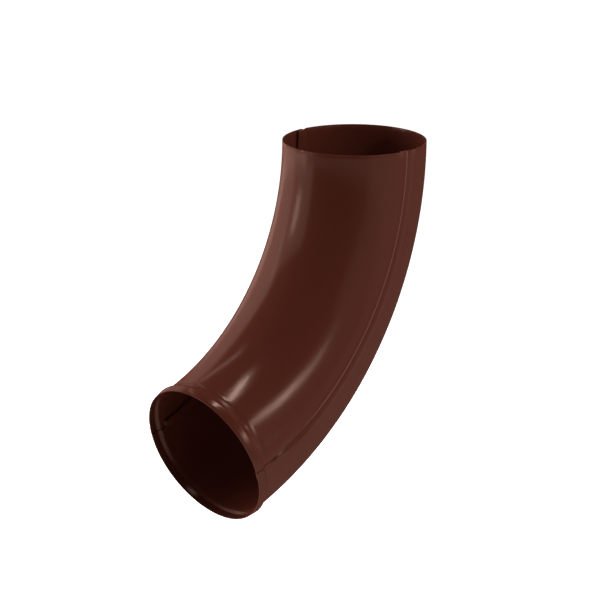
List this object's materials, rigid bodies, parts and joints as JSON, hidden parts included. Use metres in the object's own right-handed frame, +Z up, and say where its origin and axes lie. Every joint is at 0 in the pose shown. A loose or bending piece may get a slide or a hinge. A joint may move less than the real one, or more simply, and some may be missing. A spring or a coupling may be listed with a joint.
{
  "type": "downspout elbow",
  "caption": "Round downspout elbow of brown painted sheet steel, pressed half shells hooked together in folded side seams, with a raised collar at the outlet.",
  "frame": {"origin": "centre of the inlet's circle, in the plane of the inlet's rim", "axes": "+Z points up out of the inlet, along the pipe above; the bend lies in the YZ plane and the outlet looks forward (-Y) and down; X runs from seam to seam"},
  "size_m": [0.1034, 0.213, 0.2417],
  "materials": {
    "brown_paint": "satin gloss chocolate brown coating"
  },
  "bodies": {
    "root": {"throat_half_shell": "brown_paint", "heel_half_shell": "brown_paint"}
  },
  "joints": []
}
